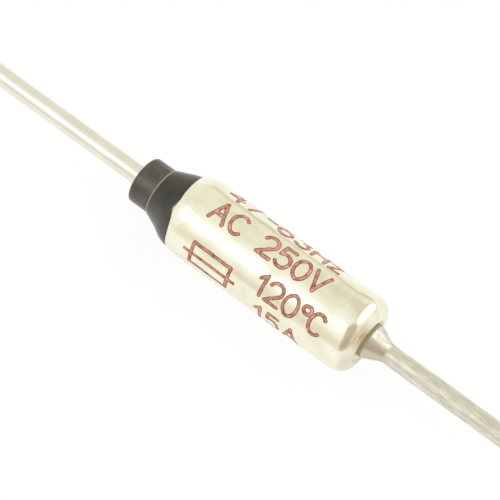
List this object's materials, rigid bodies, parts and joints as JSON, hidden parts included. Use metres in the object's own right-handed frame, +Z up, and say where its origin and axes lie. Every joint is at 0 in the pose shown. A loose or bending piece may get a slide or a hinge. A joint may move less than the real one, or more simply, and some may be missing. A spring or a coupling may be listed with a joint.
{
  "type": "thermal fuse",
  "caption": "Axial thermal fuse: a small silvered metal case with a dark resin cone and collar at its sealed end and a straight wire lead at each end. It opens a circuit once if overheated.",
  "frame": {"origin": "on the axis of the leads, halfway between the bushing's outer end and the case's closed end", "axes": "+X along the leads, from the sealed lead towards the case lead; +Z up"},
  "size_m": [0.0532, 0.004, 0.004],
  "materials": {
    "silver_plated_case": "deep-drawn brass, silver plated, satin bright",
    "tinned_wire": "copper wire, dull tin plating with drawing marks",
    "silver_plated_wire": "copper wire, bright silver plating",
    "cast_resin": "cast sealing resin, glossy",
    "glazed_ceramic": "dark glazed ceramic, semi-gloss",
    "organic_pellet": "pressed organic powder, matte",
    "brass_disc": "stamped brass, satin",
    "spring_steel": "drawn spring wire",
    "contact_silver": "rolled sheet silver"
  },
  "bodies": {
    "root": {"case": "silver_plated_case", "case_lead": "tinned_wire", "thermal_pellet": "organic_pellet", "pellet_disc": "brass_disc", "main_spring": "spring_steel", "contact_disc": "brass_disc", "star_contact": "contact_silver", "trip_spring": "spring_steel", "bushing": "glazed_ceramic", "sealed_lead": "silver_plated_wire", "resin_seal": "cast_resin"}
  },
  "joints": []
}
